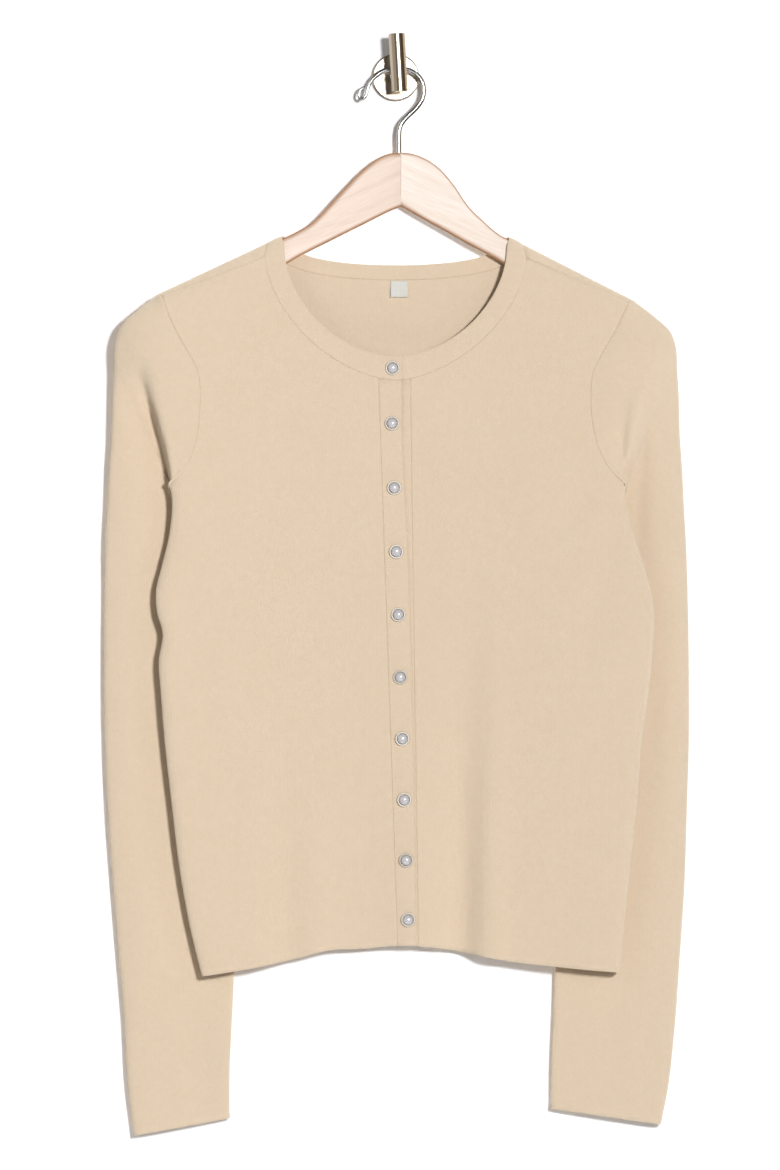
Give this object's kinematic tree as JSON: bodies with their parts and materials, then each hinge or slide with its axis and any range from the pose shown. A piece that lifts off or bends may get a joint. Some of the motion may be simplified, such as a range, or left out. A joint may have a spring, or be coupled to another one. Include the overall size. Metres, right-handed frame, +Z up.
{
  "type": "button cardigan on a hanger and wall hook",
  "caption": "Crew-neck cardigan buttoned down the front, hung on a contoured wooden hanger from a round-backed wall hook.",
  "frame": {"origin": "middle of the wall rose's flat back face, where the wall hook is held", "axes": "+Z up, +Y into the wall, so the garment's front faces -Y; sides are the wearer's, with the right on -X"},
  "size_m": [0.4572, 0.0459, 0.8613],
  "materials": {
    "knit": "matte fulled knit",
    "label_tape": "woven tape",
    "pearl": "pearl dome in a silver rim",
    "wood": "clear satin lacquer",
    "chrome": "polished",
    "nickel": "satin nickel"
  },
  "bodies": {
    "root": {"back": "knit", "front_right": "knit", "front_left": "knit", "sleeve_right": "knit", "sleeve_left": "knit", "neckband": "knit", "buttonhole_band": "knit", "button_band": "knit", "neck_label": "label_tape", "button_01": "pearl", "button_02": "pearl", "button_03": "pearl", "button_04": "pearl", "button_05": "pearl", "button_06": "pearl", "button_07": "pearl", "button_08": "pearl", "button_09": "pearl", "button_10": "pearl", "hanger_arm_right": "wood", "hanger_arm_left": "wood", "hanger_hook": "chrome", "wall_rose": "nickel", "wall_peg": "nickel"}
  },
  "joints": []
}
